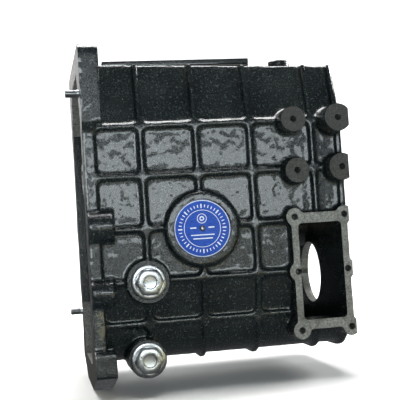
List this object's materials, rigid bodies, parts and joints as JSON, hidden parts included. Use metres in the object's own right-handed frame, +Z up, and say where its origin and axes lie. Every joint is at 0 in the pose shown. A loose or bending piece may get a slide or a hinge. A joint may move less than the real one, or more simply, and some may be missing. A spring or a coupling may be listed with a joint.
{
  "type": "manual transmission",
  "caption": "Ribbed cast-iron manual gearbox with gear train, synchronisers, shift rails, selector, power take-off window, plugs and bolt-on front flange.",
  "frame": {"origin": "bottom centre of the bounding box; the foot of the front flange stands on z = 0", "axes": "+X along the shafts to the gearbox's rear, +Y to its right side, +Z up; the power take-off side faces -Y"},
  "size_m": [0.3754, 0.314, 0.4372],
  "materials": {
    "enamel": "gloss black enamel over a cast surface",
    "machined_iron": "bare machined cast iron",
    "gear_steel": "ground and hardened steel",
    "plated_steel": "bright zinc plate",
    "bronze": "turned bronze",
    "seal_rubber": "moulded rubber",
    "gasket": "pressed fibre",
    "plate_blue": "printed aluminium disc"
  },
  "bodies": {
    "gearbox": {"main_case": "enamel", "top_cover": "enamel", "top_cover_gasket": "gasket", "cover_screw_1": "plated_steel", "cover_screw_2": "plated_steel", "cover_screw_3": "plated_steel", "cover_screw_4": "plated_steel", "front_bearing_retainer": "machined_iron", "front_retainer_bolt_1": "plated_steel", "front_retainer_bolt_2": "plated_steel", "front_retainer_bolt_3": "plated_steel", "rear_bearing_retainer": "machined_iron", "rear_retainer_bolt_1": "plated_steel", "rear_retainer_bolt_2": "plated_steel", "rear_retainer_bolt_3": "plated_steel", "output_seal": "seal_rubber", "countershaft_rear_cap": "plated_steel", "fill_plug": "plated_steel", "drain_plug": "plated_steel", "nameplate": "plate_blue", "nameplate_rivet": "plated_steel", "flange_stud_upper": "plated_steel", "flange_stud_lower": "plated_steel", "breather": "plated_steel", "input_bearing": "machined_iron", "mainshaft_bearing": "machined_iron", "countershaft_front_bearing": "machined_iron", "countershaft_rear_bearing": "machined_iron", "reverse_idler_shaft": "gear_steel"},
    "countershaft": {"countershaft": "gear_steel"},
    "input_shaft": {"input_shaft": "gear_steel"},
    "mainshaft": {"mainshaft": "gear_steel", "synchro_hub_45": "gear_steel", "synchro_hub_23": "gear_steel", "synchro_hub_1r": "gear_steel", "synchro_ring_5": "bronze", "synchro_ring_4": "bronze", "synchro_ring_3": "bronze", "synchro_ring_2": "bronze", "synchro_ring_1": "bronze", "output_flange": "gear_steel", "output_nut": "plated_steel"},
    "gear_4": {"gear_4": "gear_steel"},
    "gear_3": {"gear_3": "gear_steel"},
    "gear_2": {"gear_2": "gear_steel"},
    "gear_1": {"gear_1": "gear_steel"},
    "gear_reverse": {"gear_reverse": "gear_steel"},
    "reverse_idler": {"reverse_idler_gear": "gear_steel"},
    "sleeve_45": {"synchro_sleeve_45": "gear_steel"},
    "sleeve_23": {"synchro_sleeve_23": "gear_steel"},
    "sleeve_1r": {"synchro_sleeve_1r": "gear_steel"},
    "rail_45": {"shift_rail_45": "gear_steel", "shift_fork_45": "machined_iron"},
    "rail_23": {"shift_rail_23": "gear_steel", "shift_fork_23": "machined_iron"},
    "rail_1r": {"shift_rail_1r": "gear_steel", "shift_fork_1r": "machined_iron"},
    "selector_shaft": {"selector_shaft": "gear_steel"},
    "selector_lever": {"selector_finger": "gear_steel", "selector_lever": "enamel"}
  },
  "joints": [
    {"name": "countershaft_spin", "type": "hinge", "parent": "gearbox", "child": "countershaft", "pos_m": [0.00975, 0.042, 0.19654], "axis": [1, 0, 0], "continuous": true},
    {"name": "input_spin", "type": "hinge", "parent": "gearbox", "child": "input_shaft", "pos_m": [0.00975, -0.02, 0.275], "axis": [1, 0, 0], "continuous": true},
    {"name": "mainshaft_spin", "type": "hinge", "parent": "gearbox", "child": "mainshaft", "pos_m": [0.00975, -0.02, 0.275], "axis": [1, 0, 0], "continuous": true},
    {"name": "gear_4_spin", "type": "hinge", "parent": "gearbox", "child": "gear_4", "pos_m": [0.00975, -0.02, 0.275], "axis": [1, 0, 0], "continuous": true},
    {"name": "gear_3_spin", "type": "hinge", "parent": "gearbox", "child": "gear_3", "pos_m": [0.00975, -0.02, 0.275], "axis": [1, 0, 0], "continuous": true},
    {"name": "gear_2_spin", "type": "hinge", "parent": "gearbox", "child": "gear_2", "pos_m": [0.00975, -0.02, 0.275], "axis": [1, 0, 0], "continuous": true},
    {"name": "gear_1_spin", "type": "hinge", "parent": "gearbox", "child": "gear_1", "pos_m": [0.00975, -0.02, 0.275], "axis": [1, 0, 0], "continuous": true},
    {"name": "gear_reverse_spin", "type": "hinge", "parent": "gearbox", "child": "gear_reverse", "pos_m": [0.00975, -0.02, 0.275], "axis": [1, 0, 0], "continuous": true},
    {"name": "reverse_idler_spin", "type": "hinge", "parent": "gearbox", "child": "reverse_idler", "pos_m": [0.09275, 0.06973, 0.25255], "axis": [1, 0, 0], "continuous": true},
    {"name": "sleeve_45_slide", "type": "slide", "parent": "mainshaft", "child": "sleeve_45", "axis": [1, 0, 0], "range_m": [-0.007, 0.007]},
    {"name": "sleeve_23_slide", "type": "slide", "parent": "mainshaft", "child": "sleeve_23", "axis": [1, 0, 0], "range_m": [-0.007, 0.007]},
    {"name": "sleeve_1r_slide", "type": "slide", "parent": "mainshaft", "child": "sleeve_1r", "axis": [1, 0, 0], "range_m": [-0.007, 0.007]},
    {"name": "rail_45_slide", "type": "slide", "parent": "gearbox", "child": "rail_45", "axis": [1, 0, 0], "range_m": [-0.007, 0.007]},
    {"name": "rail_23_slide", "type": "slide", "parent": "gearbox", "child": "rail_23", "axis": [1, 0, 0], "range_m": [-0.007, 0.007]},
    {"name": "rail_1r_slide", "type": "slide", "parent": "gearbox", "child": "rail_1r", "axis": [1, 0, 0], "range_m": [-0.007, 0.007]},
    {"name": "selector_select", "type": "slide", "parent": "gearbox", "child": "selector_shaft", "axis": [0, 1, 0], "range_m": [-0.022, 0.022]},
    {"name": "selector_turn", "type": "hinge", "parent": "selector_shaft", "child": "selector_lever", "pos_m": [-0.04025, -0.02, 0.391], "axis": [0, 1, 0], "range_deg": [-19, 19]}
  ],
  "couplings": [
    {"joint": "input_spin", "follows": "countershaft_spin", "ratio": -1.6667},
    {"joint": "gear_4_spin", "follows": "countershaft_spin", "ratio": -1.2222},
    {"joint": "gear_3_spin", "follows": "countershaft_spin", "ratio": -0.90476},
    {"joint": "gear_2_spin", "follows": "countershaft_spin", "ratio": -0.6},
    {"joint": "gear_1_spin", "follows": "countershaft_spin", "ratio": -0.42857},
    {"joint": "reverse_idler_spin", "follows": "countershaft_spin", "ratio": -0.92308},
    {"joint": "gear_reverse_spin", "follows": "countershaft_spin", "ratio": 0.5},
    {"joint": "sleeve_45_slide", "follows": "rail_45_slide", "ratio": 1},
    {"joint": "sleeve_1r_slide", "follows": "rail_1r_slide", "ratio": 1},
    {"joint": "sleeve_23_slide", "follows": "rail_23_slide", "ratio": 1},
    {"joint": "selector_turn", "follows": "rail_23_slide", "rad_per_m": -47.37}
  ]
}
